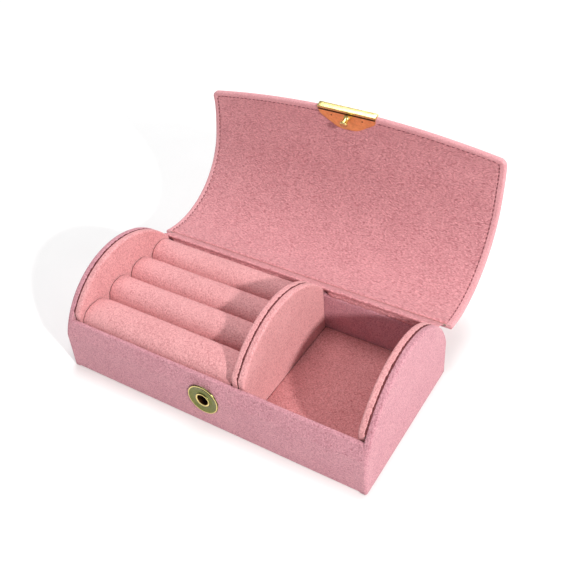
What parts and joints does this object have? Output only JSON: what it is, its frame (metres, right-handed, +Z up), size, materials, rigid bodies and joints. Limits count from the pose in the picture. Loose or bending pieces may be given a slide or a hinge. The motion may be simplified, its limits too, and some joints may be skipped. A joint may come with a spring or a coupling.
{
  "type": "leather jewellery case",
  "caption": "Half-round travel jewellery case with arched ends, padded ring rolls, a trinket bay and a curved lid that snaps to the front wall.",
  "frame": {"origin": "middle of the underside, on the surface the case stands on", "axes": "+X along the case to its right end, +Y from the front wall to the hinge, +Z up"},
  "size_m": [0.1624, 0.1397, 0.0917],
  "materials": {
    "suede_outer": "dusty pink nubuck-finish leatherette, matt, fine pebble grain",
    "suede_lining": "dusty pink soft suede lining, matt, short nap",
    "greyboard": "uncoated grey bookbinding board",
    "foam": "soft off-white polyurethane foam",
    "gold_metal": "polished pale gold plating",
    "plated_steel": "dull plated steel"
  },
  "bodies": {
    "base": {"bottom_board": "greyboard", "base_cover": "suede_outer", "front_outer_board": "greyboard", "front_inner_board": "greyboard", "back_outer_board": "greyboard", "back_inner_board": "greyboard", "left_end_board": "greyboard", "left_end_cover": "suede_outer", "right_end_board": "greyboard", "right_end_cover": "suede_outer", "left_liner_board": "greyboard", "left_liner_cover": "suede_lining", "right_liner_board": "greyboard", "right_liner_cover": "suede_lining", "divider_left_board": "greyboard", "divider_left_cover": "suede_lining", "divider_right_board": "greyboard", "divider_right_cover": "suede_lining", "ring_riser": "foam", "ring_roll_foam_1": "foam", "ring_roll_cover_1": "suede_lining", "ring_roll_foam_2": "foam", "ring_roll_cover_2": "suede_lining", "ring_roll_foam_3": "foam", "ring_roll_cover_3": "suede_lining", "ring_roll_foam_4": "foam", "ring_roll_cover_4": "suede_lining", "trinket_floor_foam": "foam", "trinket_floor_cover": "suede_lining", "socket_flange": "gold_metal", "socket_spring": "plated_steel", "socket_washer": "plated_steel", "hinge_strip": "suede_outer"},
    "lid": {"hinge_fold": "suede_outer", "lid_board": "greyboard", "lid_cover": "suede_outer", "lid_lining": "suede_lining"},
    "flap": {"flap_board": "greyboard", "flap_cover": "suede_outer", "flap_lining": "suede_lining", "latch_clip": "gold_metal", "latch_stud": "gold_metal", "latch_rivets": "gold_metal"}
  },
  "joints": [
    {"name": "lid_hinge", "type": "hinge", "parent": "base", "child": "lid", "pos_m": [0, 0.03547, 0.03013], "axis": [1, 0, 0], "range_deg": [0, 146]},
    {"name": "flap_press", "type": "hinge", "parent": "lid", "child": "flap", "pos_m": [0, 0.10069, 0.06476], "axis": [1, 0, 0], "range_deg": [0, 7], "stiffness_Nm_per_rad": 0.03, "springref_deg": -17.19}
  ]
}
